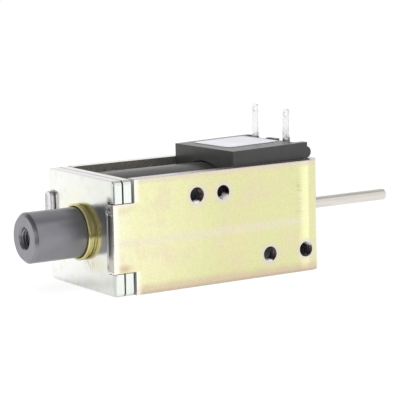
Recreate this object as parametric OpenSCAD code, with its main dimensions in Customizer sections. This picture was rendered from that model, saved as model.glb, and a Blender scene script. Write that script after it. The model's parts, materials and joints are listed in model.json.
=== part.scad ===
// Open-frame push pull solenoid: a U-shaped steel yoke closed by two front plates,
// a round coil with a terminal block on top, a brass guide tube, and a steel plunger
// whose push rod runs out through the fixed core at the back.
// X runs along the plunger axis from the plunger end to the rod end, Z is up.
// The origin is on the plunger axis in the outer face of the front plates.

/* [Yoke frame] */
// Length from the front plates' outer face to the back face
frame_l = 61.5; // [54:0.5:76]
// Width over the two side walls
frame_w = 33; // [31:0.5:42]
// Height of the side walls
frame_h = 28.5; // [26:0.5:36]
// Thickness of the yoke's steel strip
sheet_t = 3; // [2.6:0.1:3.6]
// Inside radius of the two bends at the back
bend_r = 1; // [0.8:0.1:3]
// Height of the ear cut above and below each tongue
ear_h = 5.8; // [4:0.1:8]
// Gap between the inner front plate and the yoke's shoulder
shoulder_gap = 0.7; // [0.2:0.1:1.5]
// How far the near tongue stands out of the front plates
tongue_near = 0.3; // [0:0.1:1.2]
// How far the far tongue stands out of the front plates
tongue_far = 1.2; // [0:0.1:1.4]

/* [Fixing holes] */
// Drilled diameter of the M4 tapped holes
hole_d = 3.4; // [3:0.1:4.2]
// Height of both hole rows above and below the axis
hole_z = 8.6; // [7:0.1:9.5]
// Distance from the front face to the first upper hole
upper_x = 23.6; // [12:0.1:26]
// Distance between the two upper holes
upper_pitch = 7.7; // [6:0.1:12]
// Distance from the back face to the last lower hole
lower_back = 5.3; // [5:0.1:12]
// Distance between the two lower holes
lower_pitch = 11.1; // [6:0.1:11.5]

/* [Front plates] */
// Thickness of each front plate
plate_t = 2.5; // [1.5:0.1:3.5]
// Corner radius of the front plates
plate_corner_r = 1.2; // [0.5:0.1:3]
// Clearance between a front plate and a tongue
plate_clear = 0.1; // [0.05:0.05:0.3]

/* [Plunger] */
// Diameter of the plunger
plunger_d = 12.6; // [10:0.1:14]
// How far the plunger stands out of the front face at rest
plunger_out = 16; // [14:0.1:26]
// Chamfer round the plunger's front face
plunger_chamfer = 0.8; // [0.2:0.1:1.5]
// Travel from rest until the plunger seats on the fixed core
stroke = 12.5; // [6:0.5:13]
// Length of the conical nose at the plunger's inner end
nose_l = 5; // [3:0.5:7]
// Diameter of the flat at the tip of the nose
nose_tip_d = 6.4; // [5.6:0.1:8]
// Drilled diameter of the M5 thread in the plunger
thread_d = 4.2; // [3.2:0.1:5.2]
// Depth of the M5 thread in the plunger
thread_depth = 12; // [6:0.5:16]
// Diameter of the countersink at the mouth of the thread
countersink_d = 6; // [5.4:0.1:7]

/* [Push rod] */
// Diameter of the push rod
rod_d = 3; // [2:0.1:3.4]
// How far the rod stands out of the back face at rest
rod_out = 32.5; // [15:0.5:60]
// Chamfer at the rod's end
rod_chamfer = 0.3; // [0.1:0.1:0.6]
// Length of the rod held in the plunger
rod_grip = 9; // [6:0.5:12]
// Diameter of the pin that locks the rod in the plunger
lock_pin_d = 1.5; // [1:0.1:2]
// Thickness of the anti-stick washer on the nose
stick_washer_t = 0.3; // [0.1:0.1:0.6]

/* [Guide tube] */
// Wall of the brass guide tube
tube_wall = 0.3; // [0.25:0.05:0.5]
// How far the tube stands out of the front plates
lip_out = 1.8; // [1.4:0.05:2.4]
// Length of the rolled lip at the tube's front end
lip_l = 1.2; // [0.9:0.05:1.4]
// Thickness of the rolled lip beyond the tube's bore
lip_w = 0.7; // [0.65:0.05:0.8]

/* [Fixed core] */
// Length of the fixed core in front of the back wall
core_l = 22.5; // [16:0.5:26]
// Diameter of the spigot riveted through the back wall
spigot_d = 8.4; // [7:0.1:10]
// Diameter of the rivet head behind the back wall
rivet_d = 10; // [9:0.1:12]
// Height of the rivet head behind the back wall
rivet_h = 0.8; // [0.4:0.1:1.5]
// Outside diameter of the rod bush
bush_d = 5.4; // [4.6:0.1:6]
// Length of the rod bush
bush_l = 8; // [5:0.5:12]

/* [Coil] */
// Gap between the coil and the yoke's top and bottom edges
coil_gap = 0.15; // [0.1:0.05:1.5]
// Gap between the coil's flats and the side walls
flat_gap = 0.3; // [0.1:0.05:1]
// Thickness of the outer wrap
wrap_t = 0.4; // [0.2:0.1:0.8]
// Wall of the bobbin's tube
bobbin_wall = 1.2; // [0.8:0.1:2]
// Thickness of the bobbin's flanges
flange_t = 1.3; // [0.8:0.1:2]
// Thickness of the spring washer's strip
spring_washer_t = 0.3; // [0.2:0.05:0.5]
// Free gap that the spring washer fills behind the front plates
spring_washer_gap = 0.9; // [0.6:0.1:1.5]

/* [Terminal block] */
// Length of the terminal block
block_l = 23.2; // [20:0.1:24]
// Gap between the block's sides and the side walls
block_side_gap = 0.35; // [0.35:0.05:0.8]
// Height of the middle of the block's top above the yoke
block_h = 3.8; // [3.2:0.1:6]
// Distance from the yoke's back face to the block's back face
block_back = 2.2; // [1:0.1:4]
// Angle that the block is turned between the walls, seen from above
block_turn = 1.5; // [0:0.1:1.5]
// Rise of the block's top toward the back, in degrees
block_rise = 1; // [0:0.1:3]
// Fall of the block's top toward the far side, in degrees
block_fall = 0.6; // [0:0.1:3]
// Depth that the block reaches down between the side walls
saddle_depth = 6; // [3:0.5:8]
// Radius of the round lug across the block's back face
lug_r = 1.5; // [1:0.1:1.8]
// Length of the terminal recess, from the block's back face
recess_l = 2.4; // [2.2:0.1:4]
// Width of the rim beside the terminal recess
recess_rim = 2.1; // [1:0.1:4]
// Depth of the terminal recess
recess_depth = 1.3; // [0.6:0.1:1.5]
// Width of the rib between the terminals
rib_w = 4.2; // [2:0.1:6]
// Length of the label along the block
label_l = 15.9; // [10:0.1:17]
// Width of the label across the block
label_w = 16.6; // [12:0.1:20]
// Sideways place of the label's middle
label_y = 2.2; // [0:0.1:2.8]
// Thickness of the label
label_t = 0.12; // [0.05:0.01:0.3]

/* [Terminals] */
// Width of each solder tab
tab_w = 2.8; // [2:0.1:4.8]
// Thickness of each solder tab
tab_t = 0.5; // [0.4:0.1:0.8]
// Height of each tab above the yoke's top edge
tab_h = 12.3; // [9:0.1:16]
// How much higher the far tab stands
tab_far_more = 0.4; // [0:0.1:0.8]
// Radius of the two corners at each tab's tip
tab_tip_r = 0.8; // [0.3:0.1:1.2]
// Distance between the two tabs
tab_pitch = 13.6; // [10:0.1:16]
// Distance from the block's back face to the tabs' middle
tab_back = 1.95; // [1.6:0.05:2]
// Diameter of the wire hole in each tab
tab_hole_d = 1.2; // [0.8:0.1:1.8]
// Diameter of the coil's lead wires
lead_d = 0.8; // [0.4:0.1:1]

/* [Hidden] */
$fn = 96;

// Small overlap that makes a cut run clean through
cut = 1;
// Radial running clearance of the plunger and of the rod
run_clear = 0.08;
// Clearance between fixed pieces that sit inside each other
fit_clear = 0.05;

half_w = frame_w / 2;
half_h = frame_h / 2;
inner_half_w = half_w - sheet_t;
bend_outer_r = bend_r + sheet_t;
back_inner_x = frame_l - sheet_t;

plates_t = 2 * plate_t;
shoulder_x = plates_t + shoulder_gap;
tongue_half_h = half_h - ear_h;

plunger_r = plunger_d / 2;
rod_r = rod_d / 2;
tube_bore_r = plunger_r + run_clear;
tube_r = tube_bore_r + tube_wall;

// The nose seats in the core's cone after the stroke, with the washer between them
seat_clear = 0.1;
core_face_x = back_inner_x - core_l;
nose_gap = stroke + stick_washer_t + seat_clear;
plunger_end_x = core_face_x - nose_gap;
nose_tip_x = plunger_end_x + nose_l;
rod_start_x = nose_tip_x - rod_grip;
rod_end_x = frame_l + rod_out;
lock_pin_x = plunger_end_x - lock_pin_d;

bobbin_bore_r = tube_r + fit_clear;
bobbin_r = bobbin_bore_r + bobbin_wall;
coil_r = half_h - coil_gap;
coil_half_w = inner_half_w - flat_gap;
coil_start_x = plates_t + spring_washer_gap;
// The coil's flats stop where the inside radius of the two bends begins to close in
bend_reach = sqrt(bend_r * bend_r - pow(bend_r - flat_gap, 2));
coil_end_x = back_inner_x - bend_r + bend_reach - fit_clear;
bobbin_end_x = back_inner_x - fit_clear;
winding_r = coil_r - wrap_t;
winding_half_w = coil_half_w - wrap_t;

block_mid_x = frame_l - block_back - block_l / 2;
block_half_l = block_l / 2;
block_half_w = inner_half_w - block_side_gap;
block_w = 2 * block_half_w;
saddle_clear = 0.3;
saddle_r = coil_r + saddle_clear;
saddle_z = half_h - saddle_depth;
cavity_wall = 2;
cavity_side = 3;
cavity_rise = 1.2;

recess_x = block_half_l - recess_l;
// Gap between the label and the terminal recess
label_gap = 1.2;
label_x = recess_x - label_l - label_gap;
tab_x = block_half_l - tab_back;
tab_top_z = half_h + tab_h;
tab_foot_l = 3;
tab_foot_rise = 0.2;
tab_bottom_z = half_h + tab_foot_rise;

// How far the lug is sunk in the block's back, and stops short of its sides
lug_sink = 0.05;
lug_inset = 0.4;
// Sideways place of the rib's middle
rib_y = 1;

// Margins of the spring washer inside and outside, and of the anti-stick washer
spring_washer_in = 0.6;
spring_washer_inset = 1;
stick_washer_inset = 0.2;
// How far each end of the lock pin lies below the plunger's surface
lock_pin_inset = 0.5;

// ---------------------------------------------------------------- helpers

// Solid round bar along X from x0 to x1
module bar_x(x0, x1, r) {
    translate([x0, 0, 0]) rotate([0, 90, 0]) cylinder(h = x1 - x0, r = r);
}

// Bar along X that tapers from r0 to r1
module taper_x(x0, x1, r0, r1) {
    translate([x0, 0, 0]) rotate([0, 90, 0]) cylinder(h = x1 - x0, r1 = r0, r2 = r1);
}

// Round tube along X
module tube_x(x0, x1, r_out, r_in) {
    difference() {
        bar_x(x0, x1, r_out);
        bar_x(x0 - cut, x1 + cut, r_in);
    }
}

// Box from one corner to the opposite corner
module box(from, to) {
    translate(from) cube(to - from);
}

// Rectangle with four round corners, centred
module round_rect(size, r) {
    square([size[0] - 2 * r, size[1]], center = true);
    square([size[0], size[1] - 2 * r], center = true);
    for (sx = [-1, 1], sy = [-1, 1])
        translate([sx * (size[0] / 2 - r), sy * (size[1] / 2 - r)]) circle(r = r);
}

// Round bar along X with flats where it lies between the side walls
module flat_bar_x(x0, x1, r, half_width) {
    intersection() {
        bar_x(x0, x1, r);
        box([x0 - cut, -half_width, -frame_h], [x1 + cut, half_width, frame_h]);
    }
}

// Puts its children at the block's middle, turned as the block is
module at_block() {
    translate([block_mid_x, 0, 0]) rotate([0, 0, block_turn]) children();
}

// Puts its children on the block's sloping top, with Z out of the surface
module on_block_top() {
    at_block() translate([0, 0, half_h + block_h]) rotate([-block_fall, -block_rise, 0])
        children();
}

// ------------------------------------------------------------ yoke frame

// U outline seen from above, with the two bends at the back
module yoke_outline(length, half_width, r) {
    translate([0, -half_width]) square([length - r, 2 * half_width]);
    translate([0, -half_width + r]) square([length, 2 * (half_width - r)]);
    for (side = [-1, 1])
        translate([length - r, side * (half_width - r)]) circle(r = r);
}

// One row of two tapped holes through both side walls
module hole_row(x0, pitch, z) {
    for (x = [x0, x0 + pitch])
        translate([x, half_w + cut, z]) rotate([90, 0, 0])
            cylinder(h = frame_w + 2 * cut, d = hole_d);
}

module yoke_frame() {
    longest_tongue = max(tongue_near, tongue_far);
    color("khaki") difference() {
        translate([0, 0, -half_h]) linear_extrude(frame_h) difference() {
            union() {
                yoke_outline(frame_l, half_w, bend_outer_r);
                translate([-tongue_near, -half_w]) square([frame_l / 2, sheet_t]);
                translate([-tongue_far, inner_half_w]) square([frame_l / 2, sheet_t]);
            }
            translate([-longest_tongue - cut, 0])
                yoke_outline(back_inner_x + longest_tongue + cut, inner_half_w, bend_r);
        }
        for (side = [-1, 1])
            translate([-longest_tongue - cut, -frame_w, side > 0 ? tongue_half_h : -frame_h])
                cube([shoulder_x + longest_tongue + cut, 2 * frame_w, frame_h - tongue_half_h]);
        hole_row(upper_x, upper_pitch, hole_z);
        hole_row(frame_l - lower_back - lower_pitch, lower_pitch, -hole_z);
        bar_x(back_inner_x - cut, frame_l + cut, spigot_d / 2 + fit_clear);
    }
}

// ---------------------------------------------------------- front plates

// One front plate, with ears above and below the tongues and the tube's hole
module front_plate(x0) {
    notch_half_h = tongue_half_h + plate_clear;
    notch_w = sheet_t + plate_clear;
    translate([x0, 0, 0]) rotate([90, 0, 90]) linear_extrude(plate_t) difference() {
        round_rect([frame_w, frame_h], plate_corner_r);
        for (side = [-1, 1])
            translate([side * (half_w - notch_w / 2 + cut / 2), 0])
                square([notch_w + cut, 2 * notch_half_h], center = true);
        circle(r = tube_r + fit_clear);
    }
}

module front_plate_outer() {
    color("gainsboro") front_plate(0);
}

module front_plate_inner() {
    color("silver") front_plate(plate_t);
}

// ------------------------------------------------------------ guide tube

// Brass tube through both plates and the coil, with a rolled lip at its front end
module guide_tube() {
    lip_r = lip_w / 2;
    lip_front_x = -lip_out + lip_r;
    lip_back_x = -lip_out + lip_l - lip_r;
    color("goldenrod") difference() {
        union() {
            bar_x(lip_front_x, back_inner_x - fit_clear, tube_r);
            bar_x(lip_front_x, lip_back_x, tube_bore_r + lip_w);
            for (x = [lip_front_x, lip_back_x])
                translate([x, 0, 0]) rotate([0, 90, 0])
                    rotate_extrude() translate([tube_bore_r + lip_r, 0]) circle(r = lip_r, $fn = 48);
        }
        bar_x(-lip_out - cut, frame_l, tube_bore_r);
    }
}

// ------------------------------------------------------------ fixed core

module fixed_core() {
    seat_l = nose_l + fit_clear;
    core_r = tube_bore_r - fit_clear;
    color("dimgray") difference() {
        union() {
            bar_x(core_face_x, back_inner_x, core_r);
            bar_x(back_inner_x - cut, frame_l + fit_clear, spigot_d / 2);
            bar_x(frame_l, frame_l + rivet_h / 2, rivet_d / 2);
            taper_x(frame_l + rivet_h / 2, frame_l + rivet_h, rivet_d / 2, spigot_d / 2);
        }
        taper_x(core_face_x, core_face_x + seat_l, plunger_r, nose_tip_d / 2);
        bar_x(core_face_x, frame_l + rivet_h + cut, rod_r + 2 * run_clear);
        bar_x(frame_l + rivet_h - bush_l, frame_l + rivet_h + cut, bush_d / 2);
    }
}

module rod_bush() {
    bush_end_x = frame_l + rivet_h;
    bush_r = (bush_d - fit_clear) / 2;
    color("darkgoldenrod") tube_x(bush_end_x - bush_l, bush_end_x, bush_r, rod_r + run_clear);
}

// ------------------------------------------------------------------ coil

// Dished ring that presses the bobbin back against the yoke
module spring_washer() {
    inner_r = bobbin_r + spring_washer_in;
    outer_r = min(inner_half_w, coil_r) - spring_washer_inset;
    color("lightsteelblue") rotate([0, 90, 0]) rotate_extrude() polygon([
        [inner_r, plates_t],
        [inner_r, plates_t + spring_washer_t],
        [outer_r, coil_start_x],
        [outer_r, coil_start_x - spring_washer_t]
    ]);
}

module coil_bobbin() {
    color("black") difference() {
        union() {
            bar_x(coil_start_x, bobbin_end_x, bobbin_r);
            flat_bar_x(coil_start_x, coil_start_x + flange_t, winding_r, winding_half_w);
            flat_bar_x(coil_end_x - flange_t, coil_end_x, winding_r, winding_half_w);
        }
        bar_x(coil_start_x - cut, bobbin_end_x + cut, bobbin_bore_r);
    }
}

module coil_winding() {
    x0 = coil_start_x + flange_t;
    x1 = coil_end_x - flange_t;
    color("peru") difference() {
        flat_bar_x(x0, x1, winding_r, winding_half_w);
        bar_x(x0 - cut, x1 + cut, bobbin_r + fit_clear);
    }
}

// Dark tape wrap round the winding and the flanges' edges
module coil_wrap() {
    x0 = coil_start_x;
    x1 = coil_end_x;
    color("dimgray") difference() {
        flat_bar_x(x0, x1, coil_r, coil_half_w);
        flat_bar_x(x0 - cut, x1 + cut, winding_r + fit_clear, winding_half_w + fit_clear);
    }
}

// -------------------------------------------------------- terminal block

// Block's outline from its saddle up to its sloping top
module block_body() {
    intersection() {
        at_block() translate([-block_half_l, -block_half_w, saddle_z])
            cube([block_l, block_w, frame_h]);
        on_block_top() translate([-block_l, -block_w, -frame_h])
            cube([2 * block_l, 2 * block_w, frame_h]);
    }
}

module terminal_block() {
    color("dimgray") difference() {
        union() {
            block_body();
            at_block()
                translate([block_half_l - lug_sink, -block_half_w + lug_inset, half_h + lug_r])
                rotate([-90, 0, 0]) cylinder(h = block_w - 2 * lug_inset, r = lug_r);
        }
        box([back_inner_x - bend_r, -half_w, 0], [frame_l, half_w, half_h]);
        bar_x(block_mid_x - block_l, frame_l, saddle_r);
        on_block_top() terminal_recess();
        at_block() translate([-block_half_l + cavity_wall, -block_half_w + cavity_side, 0])
            cube([block_l - 2 * cavity_wall, block_w - 2 * cavity_side, half_h + cavity_rise]);
        for (side = [-1, 1]) tab_blank(side, fit_clear);
    }
}

// Recess at the back of the block's top, with a rib left between the terminals
module terminal_recess() {
    recess_half_w = block_half_w - recess_rim;
    difference() {
        translate([recess_x, -recess_half_w, -recess_depth])
            cube([recess_l + 2 * cut, 2 * recess_half_w, frame_h]);
        translate([recess_x + recess_l / 2, rib_y - rib_w / 2, -frame_h])
            cube([recess_l, rib_w, frame_h]);
    }
}

module rating_label() {
    color("white") on_block_top() translate([label_x, label_y - label_w / 2, 0])
        cube([label_l, label_w, label_t]);
}

// ------------------------------------------------------------- terminals

function tab_end_z(side) = tab_top_z + (side > 0 ? tab_far_more : 0);

// Upright solder tab with two round corners at the tip and a foot inside the block
module tab_blank(side, grow) {
    tip_z = tab_end_z(side) - tab_tip_r;
    tip_y = tab_w / 2 - tab_tip_r;
    t = tab_t + 2 * grow;
    at_block() translate([tab_x - tab_t / 2 - grow, side * tab_pitch / 2, 0]) {
        translate([0, -tab_w / 2 - grow, tab_bottom_z])
            cube([t, tab_w + 2 * grow, tip_z - tab_bottom_z]);
        translate([0, -tip_y, tab_bottom_z])
            cube([t, 2 * tip_y, tip_z + tab_tip_r + grow - tab_bottom_z]);
        for (y = [-tip_y, tip_y])
            translate([0, y, tip_z]) rotate([0, 90, 0]) cylinder(h = t, r = tab_tip_r + grow);
        translate([t / 2 - tab_foot_l, -tab_w / 2 - grow, tab_bottom_z - grow])
            cube([tab_foot_l + t / 2, tab_w + 2 * grow, t]);
    }
}

module terminal(side) {
    color("lightgray") difference() {
        tab_blank(side, 0);
        at_block() translate([tab_x - cut, side * tab_pitch / 2, tab_end_z(side) - tab_w / 2])
            rotate([0, 90, 0]) cylinder(h = 2 * cut, d = tab_hole_d);
    }
}

module terminal_near() {
    terminal(-1);
}

module terminal_far() {
    terminal(1);
}

// Lead wire that rises from the coil and turns back to the tab's foot
module coil_lead(side) {
    y = tab_pitch / 2;
    r = lead_d / 2;
    x0 = tab_x - tab_foot_l - 3 * lead_d;
    x1 = tab_x - tab_foot_l - fit_clear;
    z0 = sqrt(coil_r * coil_r - (y - lead_d) * (y - lead_d)) + fit_clear;
    z1 = tab_bottom_z + tab_t / 2;
    color("firebrick") at_block() translate([x0, side * y, 0]) {
        translate([0, 0, z0]) cylinder(h = z1 - z0, r = r, $fn = 32);
        translate([0, 0, z1]) sphere(r = r, $fn = 32);
        translate([0, 0, z1]) rotate([0, 90, 0]) cylinder(h = x1 - x0, r = r, $fn = 32);
    }
}

module coil_lead_near() {
    coil_lead(-1);
}

module coil_lead_far() {
    coil_lead(1);
}

// --------------------------------------------------------- moving pieces

module plunger() {
    front_x = -plunger_out;
    face_r = plunger_r - plunger_chamfer;
    sink_l = (countersink_d - thread_d) / 2;
    color("slategray") difference() {
        union() {
            taper_x(front_x, front_x + plunger_chamfer, face_r, plunger_r);
            bar_x(front_x + plunger_chamfer, plunger_end_x, plunger_r);
            taper_x(plunger_end_x, nose_tip_x, plunger_r, nose_tip_d / 2);
        }
        bar_x(front_x - cut, front_x + thread_depth, thread_d / 2);
        taper_x(front_x - fit_clear, front_x + sink_l, countersink_d / 2, thread_d / 2);
        bar_x(rod_start_x, nose_tip_x + cut, rod_r + fit_clear / 2);
        translate([lock_pin_x, plunger_r + cut, 0]) rotate([90, 0, 0])
            cylinder(h = plunger_d + 2 * cut, d = lock_pin_d + fit_clear);
    }
}

module push_rod() {
    color("lightgray") difference() {
        union() {
            bar_x(rod_start_x, rod_end_x - rod_chamfer, rod_r);
            taper_x(rod_end_x - rod_chamfer, rod_end_x, rod_r, rod_r - rod_chamfer);
        }
        translate([lock_pin_x, rod_d, 0]) rotate([90, 0, 0])
            cylinder(h = 2 * rod_d, d = lock_pin_d + fit_clear);
    }
}

module anti_stick_washer() {
    color("burlywood")
        tube_x(
            nose_tip_x, nose_tip_x + stick_washer_t,
            nose_tip_d / 2 - stick_washer_inset, rod_r + fit_clear
        );
}

module rod_lock_pin() {
    pin_l = plunger_d - 2 * lock_pin_inset;
    color("silver") translate([lock_pin_x, pin_l / 2, 0]) rotate([90, 0, 0])
        cylinder(h = pin_l, d = lock_pin_d);
}

yoke_frame();
front_plate_outer();
front_plate_inner();
guide_tube();
fixed_core();
rod_bush();
spring_washer();
coil_bobbin();
coil_winding();
coil_wrap();
terminal_block();
rating_label();
terminal_near();
terminal_far();
coil_lead_near();
coil_lead_far();
plunger();
push_rod();
anti_stick_washer();
rod_lock_pin();
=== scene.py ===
import json
import math

import bmesh
import bpy
from mathutils import Matrix, Vector, noise


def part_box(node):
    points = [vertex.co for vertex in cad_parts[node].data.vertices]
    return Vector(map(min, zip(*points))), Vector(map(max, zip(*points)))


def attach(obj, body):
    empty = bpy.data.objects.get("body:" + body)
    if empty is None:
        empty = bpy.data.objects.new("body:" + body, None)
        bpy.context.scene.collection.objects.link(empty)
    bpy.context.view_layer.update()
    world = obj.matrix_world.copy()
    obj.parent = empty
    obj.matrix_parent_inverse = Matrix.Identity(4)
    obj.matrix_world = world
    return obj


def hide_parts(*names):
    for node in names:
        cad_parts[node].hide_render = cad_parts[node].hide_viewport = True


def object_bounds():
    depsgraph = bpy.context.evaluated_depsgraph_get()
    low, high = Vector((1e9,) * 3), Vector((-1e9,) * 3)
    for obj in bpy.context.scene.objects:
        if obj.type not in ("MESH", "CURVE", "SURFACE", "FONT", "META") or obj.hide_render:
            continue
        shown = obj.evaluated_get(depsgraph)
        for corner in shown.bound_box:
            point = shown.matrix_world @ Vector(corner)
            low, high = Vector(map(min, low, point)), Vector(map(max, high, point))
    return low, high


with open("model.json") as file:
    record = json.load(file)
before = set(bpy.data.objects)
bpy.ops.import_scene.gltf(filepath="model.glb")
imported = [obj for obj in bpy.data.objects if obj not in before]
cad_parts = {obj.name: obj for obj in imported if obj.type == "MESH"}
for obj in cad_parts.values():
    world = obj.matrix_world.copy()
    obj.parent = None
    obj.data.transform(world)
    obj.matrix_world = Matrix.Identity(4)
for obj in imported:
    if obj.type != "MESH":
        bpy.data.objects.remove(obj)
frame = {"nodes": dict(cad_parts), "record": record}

CAD_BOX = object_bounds()
MM = 0.001
NODES = frame["nodes"]
MOUNTS = {m["name"]: m for m in frame["record"]["mounts"]}
SLOTS = {s["node"]: s["material_slot"] for s in frame["record"]["subparts"]}
FIXED = "solenoid"
MOVING = "plunger_rod"

# Two places closer than this are the same place
SAME = 0.01 * MM
# An edge that turns by more than this, in degrees, is rounded
EDGE_ANGLE = 28
# Threads: M4 in the walls and M5 in the plunger
WALL_PITCH = 0.7 * MM
PLUNGER_PITCH = 0.8 * MM
PLUNGER_MAJOR = 2.5 * MM
# Radius of each tapped hole's mouth in millimetres, from front to back
MOUTHS = {"near_upper_holes": (2.0, 1.8), "near_lower_holes": (1.95, 1.95)}
# How far in from the wall's faces a hole's thread starts and ends
THREAD_INSET = 0.12 * MM
# Half the gap between the two front plates
HALF_SEAM = 0.12 * MM


# ------------------------------------------------------------ material nodes


def rgb(r, g, b):
    """A colour written as 0-255 display values, as a linear one."""
    def lin(v):
        v /= 255
        return v / 12.92 if v <= 0.04045 else ((v + 0.055) / 1.055) ** 2.4
    return (lin(r), lin(g), lin(b), 1)


def tongue_half():
    """Half the height of the yoke's tongues, in millimetres: its front-most points lie on them."""
    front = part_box("yoke_frame")[0].x
    return max(v.co.z for v in NODES["yoke_frame"].data.vertices if v.co.x < front + SAME) / MM


def shoulder_x():
    """Where the yoke's full height starts behind the tongues, in millimetres."""
    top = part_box("yoke_frame")[1].z
    return min(v.co.x for v in NODES["yoke_frame"].data.vertices if abs(v.co.z) > top - SAME) / MM


def wall_inner_y():
    """How far the walls' inner faces lie from the middle, in millimetres, read in the front half."""
    middle, clear_of_axis = 30 * MM, 10 * MM
    verts = NODES["yoke_frame"].data.vertices
    return min(abs(v.co.y) for v in verts if v.co.x < middle and abs(v.co.y) > clear_of_axis) / MM


def hole_places():
    """The tapped holes' x and z in millimetres, and the mouth's radius of each."""
    out = []
    for name, mouths in MOUTHS.items():
        mount = MOUNTS[name]
        x, z = mount["pos_m"][0] / MM, mount["pos_m"][2] / MM
        pitch = mount["dims"]["spacing_x_mm"]
        for side, mouth in zip((-0.5, 0.5), mouths):
            out.append((x + side * pitch, z, mouth))
    return out


class Mat:
    """A node material. Positions are the object's own, in millimetres."""

    def __init__(self, name, metallic=0.0):
        self.mat = bpy.data.materials.new(name)
        self.mat.use_nodes = True
        self.tree = self.mat.node_tree
        self.bsdf = self.tree.nodes["Principled BSDF"]
        self.bsdf.inputs["Metallic"].default_value = metallic
        tc = self.add("ShaderNodeTexCoord")
        scale = self.add("ShaderNodeVectorMath", operation="SCALE")
        scale.inputs["Scale"].default_value = 1 / MM
        self.link(tc.outputs["Object"], scale.inputs[0])
        self.pos = scale.outputs["Vector"]
        split = self.add("ShaderNodeSeparateXYZ")
        self.link(self.pos, split.inputs[0])
        self.x, self.y, self.z = split.outputs

    def add(self, kind, **props):
        n = self.tree.nodes.new(kind)
        for k, v in props.items():
            setattr(n, k, v)
        return n

    def link(self, a, b):
        self.tree.links.new(a, b)

    def put(self, value, socket):
        if hasattr(value, "is_linked"):
            self.link(value, socket)
        else:
            socket.default_value = value

    def math(self, op, a, b=0.0, clamp=False):
        n = self.add("ShaderNodeMath", operation=op, use_clamp=clamp)
        self.put(a, n.inputs[0])
        self.put(b, n.inputs[1])
        return n.outputs[0]

    def step(self, value, lo, hi):
        """0 below lo and 1 above hi, smooth between; falls where lo is above hi."""
        n = self.add("ShaderNodeMapRange", interpolation_type="SMOOTHSTEP")
        self.put(value, n.inputs["Value"])
        falls = lo > hi
        n.inputs["From Min"].default_value = hi if falls else lo
        n.inputs["From Max"].default_value = lo if falls else hi
        n.inputs["To Min"].default_value = 1 if falls else 0
        n.inputs["To Max"].default_value = 0 if falls else 1
        return n.outputs["Result"]

    def bump_at(self, value, centre, half):
        """1 at centre, falling to 0 at half to each side."""
        away = self.math("ABSOLUTE", self.math("SUBTRACT", value, centre))
        return self.step(away, half, 0)

    def both(self, a, b):
        return self.math("MULTIPLY", a, b)

    def patch(self, u, centre_u, half_u, v, centre_v, half_v):
        """A soft spot on the face that u and v run along."""
        return self.both(self.bump_at(u, centre_u, half_u), self.bump_at(v, centre_v, half_v))

    def distance(self, u, v, centre=(0, 0)):
        """How far (u, v) lies from the centre."""
        du, dv = self.math("SUBTRACT", u, centre[0]), self.math("SUBTRACT", v, centre[1])
        return self.math("SQRT", self.math("ADD", self.both(du, du), self.both(dv, dv)))

    def ragged(self, value, scale, detail, rough, reach, shift):
        """The value moved up and down by noise, by up to reach."""
        wander = self.span(self.noise(scale, detail, rough, shift=shift), -reach, reach)
        return self.math("ADD", value, wander)

    def noise(self, scale, detail=3.0, rough=0.5, stretch=(1, 1, 1), shift=0.0):
        m = self.add("ShaderNodeMapping")
        m.inputs["Scale"].default_value = stretch
        m.inputs["Location"].default_value = (shift, shift * 0.7, shift * 1.3)
        self.link(self.pos, m.inputs["Vector"])
        n = self.add("ShaderNodeTexNoise")
        n.inputs["Scale"].default_value = scale
        n.inputs["Detail"].default_value = detail
        n.inputs["Roughness"].default_value = rough
        self.link(m.outputs["Vector"], n.inputs["Vector"])
        return n.outputs["Fac"]

    def mix(self, fac, a, b):
        n = self.add("ShaderNodeMix", data_type="RGBA")
        self.put(fac, n.inputs[0])
        self.put(a, n.inputs[6])
        self.put(b, n.inputs[7])
        return n.outputs[2]

    def tint(self, colour, mask, amount, to):
        return self.mix(self.math("MULTIPLY", mask, amount, True), colour, to)

    def span(self, fac, lo, hi):
        """A noise value, which mostly lies between 0.3 and 0.7, stretched to run from lo to hi."""
        n = self.add("ShaderNodeMapRange")
        self.put(fac, n.inputs["Value"])
        n.inputs["From Min"].default_value = 0.3
        n.inputs["From Max"].default_value = 0.7
        n.inputs["To Min"].default_value = lo
        n.inputs["To Max"].default_value = hi
        return n.outputs["Result"]

    def bump(self, height, strength, distance_mm):
        n = self.add("ShaderNodeBump")
        n.inputs["Strength"].default_value = strength
        n.inputs["Distance"].default_value = distance_mm * MM
        self.link(height, n.inputs["Height"])
        self.link(n.outputs["Normal"], self.bsdf.inputs["Normal"])

    def done(self, colour, roughness=None):
        self.put(colour, self.bsdf.inputs["Base Color"])
        if roughness is not None:
            self.put(roughness, self.bsdf.inputs["Roughness"])
        return self.mat


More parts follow.
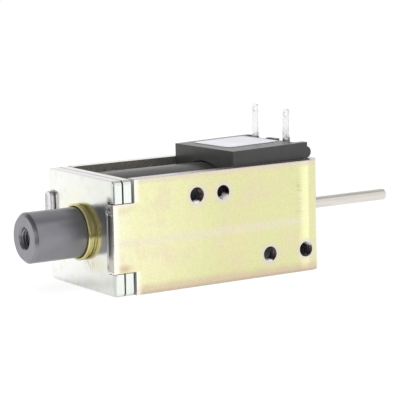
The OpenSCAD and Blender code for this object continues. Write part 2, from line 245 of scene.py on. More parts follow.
def yellow_zinc():
    """Yellow-passivated plate: an iridescent film, stained at its edges, with painted shade on the
    bottom edge, and with wear and a painted highlight at the front.
    """
    m = Mat("yellow_zinc", metallic=1.0)
    lo, hi = (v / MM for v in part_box("yoke_frame"))
    half, shoulder, inner_y = tongue_half(), shoulder_x(), wall_inner_y()
    bend = hi.x - 4.3
    streak_z, streak_half = -1.1, 1.9
    cloud = m.noise(0.09, 4, 0.55)
    fine = m.noise(0.8, 4, 0.55, shift=9)
    # cream at the tongues, greener and deeper toward the bend
    c = m.mix(m.span(cloud, 0, 1), rgb(241, 236, 193), rgb(236, 238, 186))
    deep = m.mix(m.span(cloud, 0, 1), rgb(228, 220, 172), rgb(220, 223, 168))
    c = m.mix(m.step(m.x, shoulder + 0.3, shoulder + 28.3), c, deep)
    c = m.tint(c, m.span(fine, 0, 1), 0.1, rgb(214, 208, 168))
    c = m.tint(c, m.step(m.x, shoulder + 1.3, 0), 0.6, rgb(247, 245, 218))
    blush = m.step(m.noise(0.16, 3, 0.55, shift=21), 0.5, 0.68)
    c = m.tint(c, blush, 0.35, rgb(228, 208, 186))
    # straight pale streak at mid-height
    wave = m.ragged(m.z, 0.1, 2, 0.5, 0.35, shift=4)
    c = m.tint(c, m.bump_at(wave, streak_z, streak_half), 0.5, rgb(230, 220, 204))
    # painted highlight where the bend starts, fading in, with a sharp end, and a greener strip after it
    bend_highlight = m.both(m.step(m.x, bend - 3.6, bend - 1), m.step(m.x, bend + 0.3, bend - 0.2))
    c = m.tint(c, bend_highlight, 0.72, rgb(252, 252, 200))
    c = m.tint(c, m.step(m.x, bend - 0.1, bend + 0.4), 0.9, rgb(225, 223, 176))
    # draw marks left by the bending tool, just before the bend
    marks = m.noise(1.0, 3, 0.6, stretch=(0.3, 0.3, 3.0), shift=2)
    zone = m.patch(m.x, bend - 3, 1.5, m.z, 3.5, 9)
    c = m.tint(c, m.both(zone, m.step(marks, 0.5, 0.6)), 0.5, rgb(150, 150, 110))
    # the two long edges: pink, then grey on the rounding; on the bottom edge both are painted shade,
    # the floor's contact shade seen in reflection
    edge = m.ragged(m.z, 0.35, 3, 0.5, 0.3, shift=6)
    c = m.tint(c, m.step(edge, lo.z + 3.05, lo.z + 0.95), 0.7, rgb(214, 190, 172))
    c = m.tint(c, m.step(m.z, lo.z + 1.05, lo.z + 0.15), 0.6, rgb(186, 172, 164))
    c = m.tint(c, m.step(edge, hi.z - 1.95, hi.z - 0.65), 0.55, rgb(224, 206, 194))
    # stains at the corners of the near tongue
    near = m.step(m.y, lo.y + 1.0, lo.y + 0.4)
    for z, amount, to in (
        (half - 1.6, 0.4, rgb(214, 194, 176)),
        (-half + 1.0, 0.7, rgb(206, 172, 150)),
    ):
        c = m.tint(c, m.both(m.patch(m.x, 2.4, 3.6, m.z, z, 1.7), near), amount, to)
    # the film's wear shows white along the punched front outline, with a painted highlight along it
    tall = m.step(m.math("ABSOLUTE", m.z), half - 0.1, half + 0.1)
    shoulder_edge = m.both(tall, m.step(m.x, shoulder + 1.9, shoulder + 0.3))
    worn_and_highlight = m.math("MAXIMUM", shoulder_edge, m.step(m.x, 1.6, 0.3))
    c = m.tint(c, worn_and_highlight, 0.75, rgb(254, 253, 244))
    notch = m.both(m.step(m.x, shoulder - 0.1, shoulder - 0.7), m.step(m.z, half - 0.9, half - 0.3))
    c = m.tint(c, notch, 0.6, rgb(240, 230, 232))
    # top rims, lilac on the near wall and white on the far one
    rim = m.step(m.z, hi.z - 0.35, hi.z - 0.05)
    c = m.tint(c, m.both(rim, m.step(m.y, 1, -1)), 0.8, rgb(196, 188, 194))
    c = m.tint(c, m.both(rim, m.step(m.y, -1, 1)), 0.8, rgb(244, 243, 240))
    # a lilac halo round each tapped hole
    for x, z, _ in hole_places():
        halo = m.step(m.distance(m.x, m.z, (x, z)), 3.4, 2.2)
        c = m.tint(c, halo, 0.55, rgb(222, 208, 214))
    # inside of the walls: painted shade, a darker grey, and less metallic, with scratches
    away = m.math("ABSOLUTE", m.y)
    inside = m.both(m.step(away, inner_y + 0.25, inner_y + 0.1), m.step(m.x, hi.x - 2, hi.x - 2.5))
    scratch = m.step(m.noise(0.7, 4, 0.7, stretch=(0.5, 1, 2.2), shift=12), 0.57, 0.68)
    # the darker grey here is painted shade
    dull = m.mix(m.span(fine, 0, 1), rgb(146, 142, 136), rgb(118, 116, 110))
    c = m.mix(inside, c, m.tint(dull, scratch, 0.7, rgb(196, 198, 190)))
    # sheared faces of the shoulders: bare grey steel
    sheared = m.both(
        m.step(m.x, shoulder + 0.25, shoulder + 0.05), m.step(m.x, shoulder - 0.5, shoulder - 0.3),
    )
    sheared = m.both(sheared, m.step(away, hi.y - 0.1, hi.y - 0.3))
    c = m.mix(sheared, c, rgb(206, 206, 200))
    dry = m.math("MAXIMUM", m.both(inside, 0.5), m.both(sheared, 0.9))
    m.put(m.math("SUBTRACT", 1.0, dry), m.bsdf.inputs["Metallic"])
    m.bump(m.noise(1.2, 4, 0.55, shift=5), 0.1, 0.02)
    return m.done(c, m.span(fine, 0.22, 0.32))


def white_zinc():
    """White zinc on the front plates, blotched, and stained below the tube."""
    m = Mat("white_zinc", metallic=1.0)
    lo, hi = (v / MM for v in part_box("front_plate_outer"))
    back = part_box("front_plate_inner")[1].x / MM
    cloud, blotch = m.noise(0.13, 4, 0.6, shift=3), m.noise(0.3, 4, 0.6, shift=15)
    # whiter toward the far side, greyer and greener toward the near side
    c = m.mix(m.step(m.y, -13, 11), rgb(230, 232, 226), rgb(248, 248, 247))
    c = m.tint(c, m.span(cloud, 0, 1), 0.35, rgb(236, 237, 228))
    c = m.tint(c, m.step(blotch, 0.55, 0.7), 0.3, rgb(214, 206, 194))
    c = m.tint(c, m.step(m.noise(0.22, 3, 0.6, shift=31), 0.56, 0.7), 0.4, rgb(234, 232, 206))
    c = m.tint(c, m.step(m.noise(0.8, 4, 0.65, shift=40), 0.62, 0.72), 0.3, rgb(186, 180, 172))
    # yellowish round the tube, a brown stain with scratches below it, and a lighter foot
    c = m.tint(c, m.patch(m.y, 3, 12, m.z, 8, 5), 0.55, rgb(238, 240, 216))
    c = m.tint(c, m.patch(m.y, -6.5, 7.5, m.z, -7.2, 3.4), 0.75, rgb(224, 216, 192))
    scrape = m.step(m.noise(1.1, 4, 0.7, stretch=(1, 1.6, 0.7), shift=17), 0.5, 0.6)
    scraped = m.both(m.patch(m.y, -3.6, 3.6, m.z, -7.6, 2.4), scrape)
    c = m.tint(c, scraped, 0.7, rgb(166, 150, 132))
    c = m.tint(c, m.patch(m.y, -8.5, 6.5, m.z, -11.2, 2.6), 0.6, rgb(248, 249, 244))
    edge = m.ragged(m.z, 0.5, 4, 0.65, 0.5, shift=6)
    c = m.tint(c, m.step(edge, lo.z + 1.25, lo.z + 0.15), 0.3, rgb(196, 196, 190))
    # a greyer margin along the near tongue
    front = m.step(m.x, lo.x + 0.25, lo.x + 0.05)
    margin = m.step(m.y, lo.y + 2.2, lo.y + 0.6)
    c = m.tint(c, m.both(front, margin), 0.7, rgb(206, 207, 204))
    # a dark grey patch on the front face, just above the near tongue's staked end
    dark_patch = m.patch(m.y, lo.y + 2.2, 2.0, m.z, tongue_half() + 0.9, 1.4)
    c = m.tint(c, m.both(front, dark_patch), 1.0, rgb(128, 128, 122))
    c = m.tint(c, m.step(m.y, lo.y + 0.25, lo.y + 0.05), 0.5, rgb(240, 250, 246))
    c = m.tint(c, m.step(m.z, hi.z - 0.35, hi.z - 0.05), 0.6, rgb(220, 212, 213))
    # painted shade: a dark crevice between the two plates, and a grey back edge in the gap at the
    # shoulder
    seam = m.bump_at(m.x, hi.x, 0.34)
    c = m.tint(c, seam, 1.0, rgb(58, 72, 66))
    c = m.tint(c, m.step(m.x, back - 0.3, back - 0.05), 0.6, rgb(140, 146, 142))
    m.bump(m.noise(0.7, 4, 0.6, shift=2), 0.12, 0.03)
    return m.done(c, m.span(m.noise(0.4, 3, shift=6), 0.15, 0.24))


def plain_metal(name, light, dark, rough, stretch=(1, 1, 1), scale=1.4, bump=0.2):
    m = Mat(name, metallic=1.0)
    grain = m.noise(scale, 4, 0.6, stretch=stretch)
    broad = m.noise(scale * 0.2, 3, 0.5, shift=3)
    c = m.mix(m.span(grain, 0, 1), light, dark)
    c = m.tint(c, m.span(broad, 0, 1), 0.35, dark)
    m.bump(grain, bump, 0.02)
    return m.done(c, m.span(grain, rough[0], rough[1]))


def plunger_steel():
    m = Mat("plunger_steel", metallic=1.0)
    # one ring for each 2 pi / 26 mm
    ring_rate = 26
    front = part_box("plunger")[0].x / MM
    turned = m.noise(1.0, 3, 0.6, stretch=(7, 0.2, 0.2))
    cloud = m.noise(0.25, 3, 0.5, shift=8)
    c = m.mix(m.span(cloud, 0, 1), rgb(144, 143, 149), rgb(139, 138, 143))
    # fine rings left by turning on the face
    r = m.distance(m.y, m.z)
    rings = m.math("SINE", m.both(r, ring_rate))
    face = m.step(m.x, front + 0.25, front + 0.05)
    c = m.tint(c, m.both(face, m.step(rings, -1, 1)), 0.3, rgb(166, 165, 168))
    m.bump(turned, 0.08, 0.02)
    return m.done(c, m.span(cloud, 0.3, 0.36))


def thread_steel():
    """Cut threads: darkened as painted shade, with one painted highlight, white and not metallic, in
    each hole.
    """
    m = Mat("thread_steel", metallic=1.0)
    # where each hole's painted highlight lies, as shares of the mouth's radius, and the highlight's own
    # radius
    highlight_places = ((0, -1, 1.3), (0.55, -0.8, 1.3), (0, -1, 1.2), (0.6, 0.8, 1.1))
    grain = m.noise(1.4, 3, 0.5)
    # the dark steel is painted shade inside the holes
    c = m.mix(m.span(grain, 0, 1), rgb(112, 104, 106), rgb(66, 62, 62))
    highlights = 0.0
    for (x, z, mouth), (dx, dz, size) in zip(hole_places(), highlight_places):
        r = m.distance(m.x, m.z, (x + dx * mouth, z + dz * mouth))
        highlights = m.math("MAXIMUM", highlights, m.step(r, size, size / 2))
    c = m.mix(highlights, c, rgb(252, 252, 252))
    m.put(m.math("SUBTRACT", 1.0, highlights), m.bsdf.inputs["Metallic"])
    m.bump(grain, 0.08, 0.02)
    return m.done(c, m.span(grain, 0.24, 0.34))


def plastic(name, light, dark, rough, grain=3.0, bump=0.3):
    m = Mat(name)
    fine, broad = m.noise(grain, 5, 0.65), m.noise(0.2, 3, 0.5, shift=5)
    c = m.mix(m.span(broad, 0, 1), light, dark)
    c = m.tint(c, m.span(fine, 0, 1), 0.3, dark)
    m.bump(fine, bump, 0.03)
    return m.done(c, m.span(fine, rough[0], rough[1]))


def coil_tape():
    """Dark tape, wound in laps, with painted shade where it dips between the walls."""
    m = Mat("coil_tape")
    lap_pitch = 26
    inner_y = wall_inner_y()
    wrap = m.noise(0.8, 4, 0.6, stretch=(0.15, 2.0, 2.0))
    c = m.mix(m.span(wrap, 0, 1), rgb(60, 59, 57), rgb(44, 43, 42))
    lap = m.bump_at(m.math("FRACT", m.both(m.x, 1 / lap_pitch)), 0.5, 0.02)
    c = m.tint(c, lap, 0.5, rgb(36, 36, 36))
    # painted shade on the tape's flanks beside the walls
    away = m.math("ABSOLUTE", m.y)
    c = m.tint(c, m.step(away, inner_y - 1.3, inner_y - 0.7), 0.6, rgb(26, 24, 24))
    m.bump(wrap, 0.3, 0.08)
    return m.done(c, m.span(wrap, 0.26, 0.38))


def label_film():
    m = Mat("label_film")
    c = m.mix(m.span(m.noise(0.25, 3), 0, 1), rgb(226, 227, 234), rgb(214, 215, 222))
    m.bump(m.noise(5.0, 3), 0.12, 0.01)
    return m.done(c, m.span(m.noise(0.6, 3, shift=3), 0.3, 0.42))


def tinned_tab():
    """Bright tin, with flux stains low on the near tab and darker ones on the far one."""
    m = Mat("tinned_tab", metallic=1.0)
    stain_top, burn_top, stain_full = 21.5, 18.6, 17.5
    fine = m.noise(1.1, 3, 0.5)
    c = m.mix(m.span(fine, 0, 1), rgb(252, 251, 250), rgb(240, 238, 235))
    stain = m.step(m.noise(0.8, 4, 0.65, shift=4), 0.45, 0.6)
    low = m.both(stain, m.step(m.z, stain_top, stain_full))
    near = m.step(m.y, 1, -1)
    c = m.tint(c, m.both(low, near), 0.8, rgb(168, 148, 128))
    c = m.tint(c, m.both(m.step(m.z, burn_top, burn_top - 1), near), 0.6, rgb(150, 132, 112))
    c = m.tint(c, m.both(low, m.step(m.y, 6.6, 5.8)), 0.8, rgb(110, 100, 92))
    m.bump(fine, 0.1, 0.03)
    return m.done(c, m.span(fine, 0.18, 0.28))


def sheared_end():
    """A punched strip's end: a dark torn zone inside, a lighter burnished zone outside."""
    m = Mat("sheared_end", metallic=1.0)
    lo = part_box("yoke_frame")[0] / MM
    half = tongue_half()
    stake_line = half - 2.55
    grain = m.noise(1.6, 4, 0.65, stretch=(1, 1, 0.35))
    across = m.math("SUBTRACT", m.y, lo.y)
    torn = m.mix(m.span(grain, 0, 1), rgb(124, 123, 121), rgb(104, 104, 103))
    burnished = m.mix(m.span(grain, 0, 1), rgb(176, 173, 172), rgb(150, 148, 148))
    c = m.mix(m.step(across, 1.35, 1.6), burnished, torn)
    # painted highlight along the strip's inner edge
    c = m.tint(c, m.step(across, 2.55, 2.75), 0.95, rgb(212, 214, 212))
    # lighter toward the foot, and mottled where the punch has staked it
    c = m.tint(c, m.step(m.z, -3.6, -5.6), 0.8, rgb(214, 206, 198))
    # painted shade in the punch pit near the foot
    c = m.tint(c, m.patch(across, 3.1, 0.8, m.z, -7.0, 1.3), 0.9, rgb(120, 110, 100))
    staked = m.step(m.z, stake_line - 0.05, stake_line + 0.35)
    mottle = m.noise(1.8, 4, 0.7, shift=3)
    mottled = m.mix(m.span(mottle, 0, 1), rgb(196, 194, 196), rgb(128, 126, 128))
    c = m.mix(staked, c, mottled)
    # painted highlight along the stake's lower edge
    c = m.tint(c, m.bump_at(m.z, stake_line, 0.22), 0.8, rgb(252, 252, 252))
    m.bump(m.noise(2.4, 4, 0.65, shift=5), 0.4, 0.05)
    return m.done(c, m.span(grain, 0.3, 0.45))


def zinc_end():
    """The far tongue's plated end. Its narrow inner side is dull white."""
    m = Mat("zinc_end", metallic=1.0)
    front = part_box("yoke_frame")[0].x / MM
    inner_y = wall_inner_y()
    grain = m.noise(1.3, 4, 0.6)
    c = m.mix(m.span(grain, 0, 1), rgb(236, 234, 238), rgb(218, 216, 220))
    c = m.tint(c, m.step(m.noise(0.8, 3, 0.6, shift=3), 0.55, 0.68), 0.4, rgb(190, 190, 194))
    side = m.both(m.step(m.y, inner_y + 0.15, inner_y + 0.05), m.step(m.x, front + 0.1, front + 0.3))
    c = m.mix(side, c, rgb(250, 249, 247))
    m.put(m.math("SUBTRACT", 1.0, side), m.bsdf.inputs["Metallic"])
    m.bump(m.noise(1.8, 4, 0.6, shift=5), 0.25, 0.04)
    return m.done(c, m.span(grain, 0.22, 0.34))


MATS = {
    "yellow_zinc": yellow_zinc(),
    "white_zinc": white_zinc(),
    "brass": plain_metal(
        "brass", rgb(222, 212, 156), rgb(204, 194, 136), (0.16, 0.22), (3, 0.4, 0.4), 0.8, 0.05,
    ),
    "core_steel": plain_metal(
        "core_steel", rgb(170, 170, 168), rgb(128, 128, 126), (0.3, 0.45), (6, 1, 1),
    ),
    "bronze": plain_metal("bronze", rgb(190, 156, 104), rgb(140, 108, 66), (0.35, 0.55)),
    "spring_steel": plain_metal("spring_steel", rgb(200, 200, 202), rgb(160, 160, 164), (0.22, 0.35)),
    "black_nylon": plastic("black_nylon", rgb(44, 44, 44), rgb(34, 34, 34), (0.4, 0.55)),
    "copper_wire": plain_metal(
        "copper_wire", rgb(196, 118, 70), rgb(146, 78, 40), (0.25, 0.4), (8, 1, 1),
    ),
    "coil_tape": coil_tape(),
    "block_plastic": plastic("block_plastic", rgb(64, 64, 64), rgb(56, 56, 55), (0.26, 0.36), 2.4, 0.2),
    "label_film": label_film(),
    "tinned_tab": tinned_tab(),
    "lead_sleeve": plastic("lead_sleeve", rgb(150, 40, 34), rgb(120, 28, 26), (0.3, 0.45)),
    "plunger_steel": plunger_steel(),
    "rod_steel": plain_metal(
        "rod_steel", rgb(226, 222, 216), rgb(214, 208, 200), (0.2, 0.27), (0.08, 1.2, 1.2), 0.9, 0.04,
    ),
    "sheared_end": sheared_end(),
    "zinc_end": zinc_end(),
    "thread_steel": thread_steel(),
}


# ------------------------------------------------------------------ geometry


def finish_piece(bm, name, body, mat, nodes=(), weighted=True):
    """Makes the piece. Where nodes are named, it stands for them."""
    bmesh.ops.recalc_face_normals(bm, faces=bm.faces)
    for f in bm.faces:
        f.smooth = True
    mesh = bpy.data.meshes.new(name)
    bm.to_mesh(mesh)
    bm.free()
    ob = bpy.data.objects.new(name, mesh)
    bpy.context.scene.collection.objects.link(ob)
    mesh.materials.append(MATS[mat])
    if weighted:
        w = ob.modifiers.new("even_normals", "WEIGHTED_NORMAL")
        w.keep_sharp = True
    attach(ob, body)
    if nodes:
        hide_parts(*nodes)
    return ob


def clean_copy(node):
    """A copy of a node's mesh, with flat faces in one piece."""
    bm = bmesh.new()
    bm.from_mesh(NODES[node].data)
    bmesh.ops.remove_doubles(bm, verts=bm.verts, dist=0.002 * MM)
    bmesh.ops.dissolve_limit(bm, angle_limit=math.radians(0.4), verts=bm.verts, edges=bm.edges)
    return bm


def is_edge(e, angle=EDGE_ANGLE):
    return len(e.link_faces) == 2 and e.calc_face_angle(0) > math.radians(angle)


def round_edges(bm, width_mm, segments=2, angle=EDGE_ANGLE, where=None):
    edges = [e for e in bm.edges if is_edge(e, angle) and (where is None or where(e))]
    bmesh.ops.bevel(
        bm, geom=edges, offset=width_mm * MM, offset_type="OFFSET", segments=segments,
        profile=0.5, affect="EDGES", clamp_overlap=True,
    )


def round_by_place(bm, widest_mm, width_of):
    """Stores how wide each edge is to be rounded. The modifier from rounded() then rounds them all."""
    layer = bm.edges.layers.float.new("bevel_weight_edge")
    for e in bm.edges:
        if is_edge(e):
            e[layer] = width_of(e) / widest_mm


def rounded(ob, widest_mm):
    b = ob.modifiers.new("rounding", "BEVEL")
    b.limit_method = "WEIGHT"
    b.width = widest_mm * MM
    b.segments = 3
    b.use_clamp_overlap = True
    ob.modifiers.move(len(ob.modifiers) - 1, 0)


def widen(bm, centre, axis, r_from, r_to, lo=-1.0, hi=1.0):
    """Moves a round hole's wall out from r_from to r_to, about an axis line."""
    axis = Vector(axis).normalized()
    for v in bm.verts:
        d = v.co - Vector(centre)
        along = d.dot(axis)
        radial = d - axis * along
        if lo <= along <= hi and abs(radial.length - r_from) < 0.03 * MM:
            v.co += radial.normalized() * (r_to - r_from)


def thread_liner(name, mouth, inward, length, minor, major, pitch, through, body, mat):
    """The threaded wall of a hole: a closed ring with a helical ridge on the inside."""
    segs, rows_per_turn, least_rows = 56, 9, 8
    flat, slope = 0.18, 0.64
    inward = Vector(inward).normalized()
    side = inward.orthogonal().normalized()
    up = inward.cross(side)
    rows = max(least_rows, int(round(length / pitch * rows_per_turn)))
    skin = major + 0.02 * MM
    bm = bmesh.new()

    def ring(s, radius_of):
        out = []
        for k in range(segs):
            t = 2 * math.pi * k / segs
            outward = side * math.cos(t) + up * math.sin(t)
            out.append(bm.verts.new(Vector(mouth) + inward * s + outward * radius_of(k / segs)))
        return out

    def inner(s):
        def radius_of(turn):
            tri = abs(2 * ((s / pitch - turn) % 1) - 1)
            deep = min(1, max(0, (tri - flat) / slope))
            r = minor + (major - minor) * deep
            # the ridge runs out at the mouth, and at the other end where the hole goes through
            r = max(r, major - s)
            if through:
                r = max(r, major - (length - s))
            return min(r, major)
        return radius_of

    rings = [ring(length * i / rows, inner(length * i / rows)) for i in range(rows + 1)]
    rings += [ring(length, lambda _: skin), ring(0, lambda _: skin)]
    for a, b in zip(rings, rings[1:] + rings[:1]):
        for k in range(segs):
            j = (k + 1) % segs
            bm.faces.new((a[k], a[j], b[j], b[k]))
    return finish_piece(bm, name, body, mat, weighted=False)


def yoke():
    bm = clean_copy("yoke_frame")
    lo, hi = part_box("yoke_frame")
    r_hole = MOUNTS["near_upper_holes"]["dims"]["hole_r_mm"] * MM
    holes = [(x * MM, z * MM, mouth * MM) for x, z, mouth in hole_places()]
    for x, z, mouth in holes:
        widen(bm, (x, 0, z), (0, 1, 0), r_hole, mouth)
    wall = hi.y - wall_inner_y() * MM
    shoulder = shoulder_x() * MM
    # the far tongue stops just in front of the plates here, and its staked end is a piece of its own
    for v in bm.verts:
        if v.co.x < lo.x + SAME:
            v.co.x = -0.02 * MM
    hole_width, usual_width, outline_width, foot_width = 0.08, 0.24, 0.5, 0.6
    widest = max(outline_width, foot_width)

    def on_mouth(v):
        return any(math.hypot(v.co.x - x, v.co.z - z) < mouth + 0.15 * MM for x, z, mouth in holes)

    def width_of(e):
        if all(on_mouth(v) for v in e.verts):
            return hole_width
        if all(abs(v.co.y) > hi.y - SAME for v in e.verts):
            if all(v.co.x < shoulder + SAME for v in e.verts):
                return outline_width
            if all(v.co.z < lo.z + SAME for v in e.verts):
                return foot_width
        return usual_width

    round_by_place(bm, widest, width_of)
    shell = finish_piece(bm, "yoke_shell", FIXED, "yellow_zinc", ["yoke_frame"])
    rounded(shell, widest)
    for i, (x, z, mouth) in enumerate(holes):
        for side, y, turn in (("near", lo.y, 1), ("far", hi.y, -1)):
            inward = Vector((0, turn, 0))
            start = Vector((x, y, z)) + inward * THREAD_INSET
            thread_liner(
                f"thread_{side}_{i}", start, inward, wall - 2 * THREAD_INSET, r_hole, mouth,
                WALL_PITCH, True, FIXED, "thread_steel",
            )


def plates():
    """Punched plates: a round rollover in front, and a thin gap between the two."""
    rollover, usual = 0.42, 0.2
    front, seam = (corner.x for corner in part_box("front_plate_outer"))
    for node, away in (("front_plate_outer", -1), ("front_plate_inner", 1)):
        bm = clean_copy(node)
        for v in bm.verts:
            if abs(v.co.x - seam) < SAME:
                v.co.x += away * HALF_SEAM
        if away < 0:
            round_edges(bm, rollover, 4, where=lambda e: all(v.co.x < front + SAME for v in e.verts))
        round_edges(bm, usual, 3)
        finish_piece(bm, node + "_punched", FIXED, "white_zinc", [node])


def smooth(t):
    t = min(1, max(0, t))
    return t * t * (3 - 2 * t)


def near_tongue_end(x_face, y_out, half):
    """The near tongue's sheared end, staked over the notch's edge, as a thin closed cap.

    u runs across the strip from its outer face and v along it, in millimetres.
    """
    rows, cols = 150, 44
    u_start, u_end, v_end = 0.3, 3.62, half - 0.05
    proud, least_proud, lift_run = 0.09, 0.02, 0.32
    stake_v, torn_u, inner_u = half - 2.7, 1.35, 2.5
    pit_u, pit_v = 3.1, 1.45 - half
    face = -x_face / MM
    foot_x = -0.004 * MM
    bm = bmesh.new()

    def height(u, v, edge):
        rough = noise.noise(Vector((u * 2.2, v * 1.1, 3.0)))
        lump = noise.noise(Vector((u * 1.5, v * 1.5, 9.0)))
        torn = smooth((u - torn_u) / 0.25) * (1 - smooth((u - inner_u) / 0.2))
        stake = smooth((v - stake_v) / 0.35)
        pit = smooth(1.15 - math.hypot((u - pit_u) / 0.45, v - pit_v))
        t = proud - 0.05 * torn * (1 + 0.8 * rough)
        t += stake * (0.10 + 0.16 * lump + 0.06 * rough)
        t += 0.05 * smooth((u - inner_u - 0.1) / 0.2)
        t = max(t - 0.06 * pit, least_proud)
        lift = smooth(min(u - u_start, edge - u, v_end - abs(v)) / lift_run)
        return (face + t) * lift + 0.012

    grid = []
    for i in range(rows + 1):
        v = v_end * (2 * i / rows - 1)
        edge = u_end + 0.07 * noise.noise(Vector((0.5, v * 0.6, 1.0)))
        edge += 0.25 * smooth((v - stake_v - 0.3) / 0.5)
        row = []
        for j in range(cols + 1):
            u = u_start + (edge - u_start) * j / cols
            y, z = y_out + u * MM, v * MM
            row.append((bm.verts.new((-height(u, v, edge) * MM, y, z)), bm.verts.new((foot_x, y, z))))
        grid.append(row)
    for i in range(rows):
        for j in range(cols):
            for k, flip in ((0, False), (1, True)):
                q = [grid[i][j][k], grid[i][j + 1][k], grid[i + 1][j + 1][k], grid[i + 1][j][k]]
                bm.faces.new(q[::-1] if flip else q)
    loop = [grid[0][j] for j in range(cols)] + [grid[i][cols] for i in range(rows)]
    loop += [grid[rows][j] for j in range(cols, 0, -1)] + [grid[i][0] for i in range(rows, 0, -1)]
    for a, b in zip(loop, loop[1:] + loop[:1]):
        bm.faces.new((a[0], b[0], b[1], a[1]))
    finish_piece(bm, "tongue_end_near", FIXED, "sheared_end", weighted=False)


def far_tongue_end(x_face, y_out, y_in, half):
    """The far tongue's end: a short block with round corners and soft edges."""
    r, n = 1.3, 6
    back_x = 0.3 * MM
    corners = [
        (y_in + r, half - r, 90), (y_in + r, -half + r, 180),
        (y_out - r, -half + r, 270), (y_out - r, half - r, 0),
    ]
    ring = []
    for y, z, start in corners:
        for k in range(n + 1):
            t = math.radians(start + 90 * k / n)
            ring.append((y + r * math.cos(t), z + r * math.sin(t)))
    bm = bmesh.new()
    front = [bm.verts.new((x_face, y * MM, z * MM)) for y, z in ring]
    back = [bm.verts.new((back_x, y * MM, z * MM)) for y, z in ring]
    bm.faces.new(front)
    bm.faces.new(back[::-1])
    for i in range(len(ring)):
        j = (i + 1) % len(ring)
        bm.faces.new((front[i], back[i], back[j], front[j]))
    round_edges(bm, 0.25, 3, 40)
    finish_piece(bm, "tongue_end_far", FIXED, "zinc_end")


def tongue_ends():
    lo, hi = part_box("yoke_frame")
    near_x = min(v.co.x for v in NODES["yoke_frame"].data.vertices if v.co.y < 0)
    half = tongue_half()
    near_tongue_end(near_x, lo.y, half)
    far_tongue_end(lo.x, hi.y / MM, wall_inner_y(), half)


def plunger():
    mount = MOUNTS["plunger_thread"]
    minor = mount["dims"]["r_mm"] * MM
    middle, length = mount["pos_m"][0], mount["dims"]["length_mm"] * MM
    start, end = middle - length / 2, middle + length / 2
    bm = clean_copy("plunger")
    widen(bm, (0, 0, 0), (1, 0, 0), minor, PLUNGER_MAJOR, start - SAME, end + SAME)
    round_edges(bm, 0.1, 2, 25)
    finish_piece(bm, "plunger_turned", MOVING, "plunger_steel", ["plunger"])
    # the thread starts in the countersink and ends short of the drilled bottom
    mouth = start - 0.35 * MM
    thread_liner(
        "plunger_thread", (mouth, 0, 0), (1, 0, 0), end - mouth - 0.1 * MM, minor, PLUNGER_MAJOR,
        PLUNGER_PITCH, False, MOVING, "plunger_steel",
    )


def is_upright(e):
    return abs((e.verts[0].co - e.verts[1].co).normalized().z) > 0.9


def block():
    bm = clean_copy("terminal_block")
    round_edges(bm, 0.36, 3)
    finish_piece(bm, "terminal_block_moulded", FIXED, "block_plastic", ["terminal_block"])
    bm = clean_copy("rating_label")
    round_edges(bm, 1.5, 6, where=is_upright)
    finish_piece(bm, "label_bare", FIXED, "label_film", ["rating_label"])
    for node in ("terminal_near", "terminal_far"):
        bm = clean_copy(node)
        round_edges(bm, 0.09, 2)
        finish_piece(bm, node + "_tab", FIXED, "tinned_tab", [node])


def soft_edged(node, body, width):
    """The node as it is, with its edges rounded."""
    bm = clean_copy(node)
    round_edges(bm, width, 2)
    slot = SLOTS[node]
    finish_piece(bm, node + "_finished", body, slot, [node])


yoke()
plates()
tongue_ends()
plunger()
block()
soft_edged("coil_wrap", FIXED, 0.25)
soft_edged("fixed_core", FIXED, 0.15)
soft_edged("push_rod", MOVING, 0.05)

# CAD solids whose shape is right keep it and take their slot's material
for node, ob in NODES.items():
    if not ob.hide_render:
        ob.data.materials.clear()
        ob.data.materials.append(MATS[SLOTS[node]])


# ------------------------------------------------------------- stage, camera


def ray_share(tree, *names):
    """1 for the named kinds of ray."""
    path = tree.nodes.new("ShaderNodeLightPath")
    total = None
    for name in names:
        if total is None:
            total = path.outputs[name]
            continue
        n = tree.nodes.new("ShaderNodeMath")
        n.operation = "MAXIMUM"
        tree.links.new(total, n.inputs[0])
        tree.links.new(path.outputs[name], n.inputs[1])
        total = n.outputs[0]
    return total


def add_floor():
    """A pale floor. A camera and a reflection see it whiter than the light on it makes it."""
    half_size, drop = 4, 0.05 * MM
    bm = bmesh.new()
    bmesh.ops.create_grid(bm, x_segments=8, y_segments=8, size=half_size)
    mesh = bpy.data.meshes.new("floor")
    bm.to_mesh(mesh)
    bm.free()
    ob = bpy.data.objects.new("floor", mesh)
    ob.location = ((CAD_BOX[0].x + CAD_BOX[1].x) / 2, 0, CAD_BOX[0].z - drop)
    bpy.context.scene.collection.objects.link(ob)
    mat = bpy.data.materials.new("floor")
    mat.use_nodes = True
    tree = mat.node_tree
    tree.nodes.clear()

    def part(grey, glow):
        """A pale surface that takes shadows, with some white of its own."""
        base = tree.nodes.new("ShaderNodeBsdfDiffuse")
        light = tree.nodes.new("ShaderNodeEmission")
        both = tree.nodes.new("ShaderNodeAddShader")
        base.inputs["Color"].default_value = (grey, grey, grey, 1)
        light.inputs["Strength"].default_value = glow
        tree.links.new(base.outputs[0], both.inputs[0])
        tree.links.new(light.outputs[0], both.inputs[1])
        return both.outputs[0]

    shader = part(0.8, 0)
    for names, grey, glow in (
        (("Is Camera Ray", "Is Transmission Ray"), 0.2, 0.86),
        (("Is Glossy Ray",), 0.6, 0.45),
    ):
        pick = tree.nodes.new("ShaderNodeMixShader")
        tree.links.new(ray_share(tree, *names), pick.inputs[0])
        tree.links.new(shader, pick.inputs[1])
        tree.links.new(part(grey, glow), pick.inputs[2])
        shader = pick.outputs[0]
    out = tree.nodes.new("ShaderNodeOutputMaterial")
    tree.links.new(shader, out.inputs[0])
    mesh.materials.append(mat)


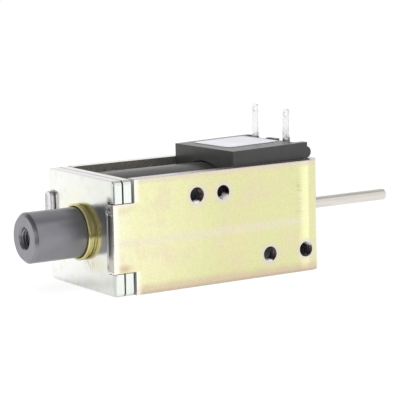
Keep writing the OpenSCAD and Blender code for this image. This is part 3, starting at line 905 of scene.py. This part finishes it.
def add_world():
    """Soft light from all round, at its plain level, seen as white."""
    lighting, shown_as = 0.75, 1.0
    world = bpy.data.worlds.new("studio")
    bpy.context.scene.world = world
    world.use_nodes = True
    tree = world.node_tree
    back = tree.nodes["Background"]
    strength = tree.nodes.new("ShaderNodeMapRange")
    strength.inputs["To Min"].default_value = lighting
    strength.inputs["To Max"].default_value = shown_as
    shown = ray_share(tree, "Is Camera Ray", "Is Glossy Ray", "Is Transmission Ray")
    tree.links.new(shown, strength.inputs["Value"])
    tree.links.new(strength.outputs["Result"], back.inputs["Strength"])
    back.inputs["Color"].default_value = (1, 1, 1, 1)


def add_lamp(name, place, size, power):
    """A soft round lamp, aimed at the yoke. Reflections don't show it."""
    aim = Vector((0.03, 0, 0))
    lamp = bpy.data.lights.new(name, "AREA")
    lamp.shape = "DISK"
    lamp.size = size
    lamp.energy = power
    ob = bpy.data.objects.new(name, lamp)
    ob.visible_glossy = False
    ob.location = place
    ob.rotation_euler = (aim - Vector(place)).to_track_quat("-Z", "Y").to_euler()
    bpy.context.scene.collection.objects.link(ob)


def add_card(name, place, size, grey, turn=None):
    """A grey card in the studio, which only reflections show.

    It faces the origin, or lies flat and turned by the angle turn, in degrees, where that is given.
    """
    bm = bmesh.new()
    bmesh.ops.create_grid(bm, x_segments=2, y_segments=2, size=0.5)
    mesh = bpy.data.meshes.new(name)
    bm.to_mesh(mesh)
    bm.free()
    ob = bpy.data.objects.new(name, mesh)
    ob.location = place
    ob.scale = (size[0], size[1], 1)
    if turn is None:
        ob.rotation_euler = (-Vector(place)).to_track_quat("Z", "Y").to_euler()
    else:
        ob.rotation_euler = (0, 0, math.radians(turn))
    bpy.context.scene.collection.objects.link(ob)
    mat = bpy.data.materials.new(name)
    mat.use_nodes = True
    tree = mat.node_tree
    tree.nodes.clear()
    glow = tree.nodes.new("ShaderNodeEmission")
    out = tree.nodes.new("ShaderNodeOutputMaterial")
    glow.inputs["Strength"].default_value = grey
    tree.links.new(glow.outputs[0], out.inputs[0])
    mesh.materials.append(mat)
    ob.visible_camera = ob.visible_diffuse = ob.visible_shadow = ob.visible_transmission = False


def add_camera():
    azimuth, elevation, roll = (math.radians(a) for a in (-32.315, 8.716, -1.312))
    target, distance = Vector((0.03486, 0, 0.00433)), 0.5107
    back = Vector((
        math.sin(azimuth) * math.cos(elevation),
        -math.cos(azimuth) * math.cos(elevation),
        math.sin(elevation),
    ))
    level = Vector((0, 0, 1)).cross(back).normalized()
    upright = back.cross(level)
    right = level * math.cos(roll) + upright * math.sin(roll)
    up = upright * math.cos(roll) - level * math.sin(roll)
    data = bpy.data.cameras.new("camera")
    data.sensor_width = 36
    data.lens = 179.3
    data.clip_start = 0.01
    ob = bpy.data.objects.new("camera", data)
    m = Matrix((right, up, back)).transposed().to_4x4()
    m.translation = target + back * distance
    ob.matrix_world = m
    bpy.context.scene.collection.objects.link(ob)
    bpy.context.scene.camera = ob


add_floor()
add_world()
add_camera()
add_lamp("key", (-0.35, -0.25, 0.6), 0.45, 2.2)
add_lamp("fill", (0.5, -0.5, 0.35), 0.4, 0.9)
add_card("dark_side", (-0.62, -1.0, 0.42), (0.95, 1.25), 0.22)
add_card("dark_table", (-0.405, -0.25, CAD_BOX[0].z + 0.0004), (0.5, 0.76), 0.22, -32)
add_card("grey_left", (-0.66, -0.15, 0.55), (1.16, 1.8), 0.25, 0)
add_card("lamp_edge", (0.38, -0.08, 0.6), (0.5, 0.36), 0.5, 0)
add_card("grey_behind", (0.6, 0.6, 0.62), (1.0, 1.0), 0.72, 0)
bpy.context.scene.view_settings.view_transform = "Standard"
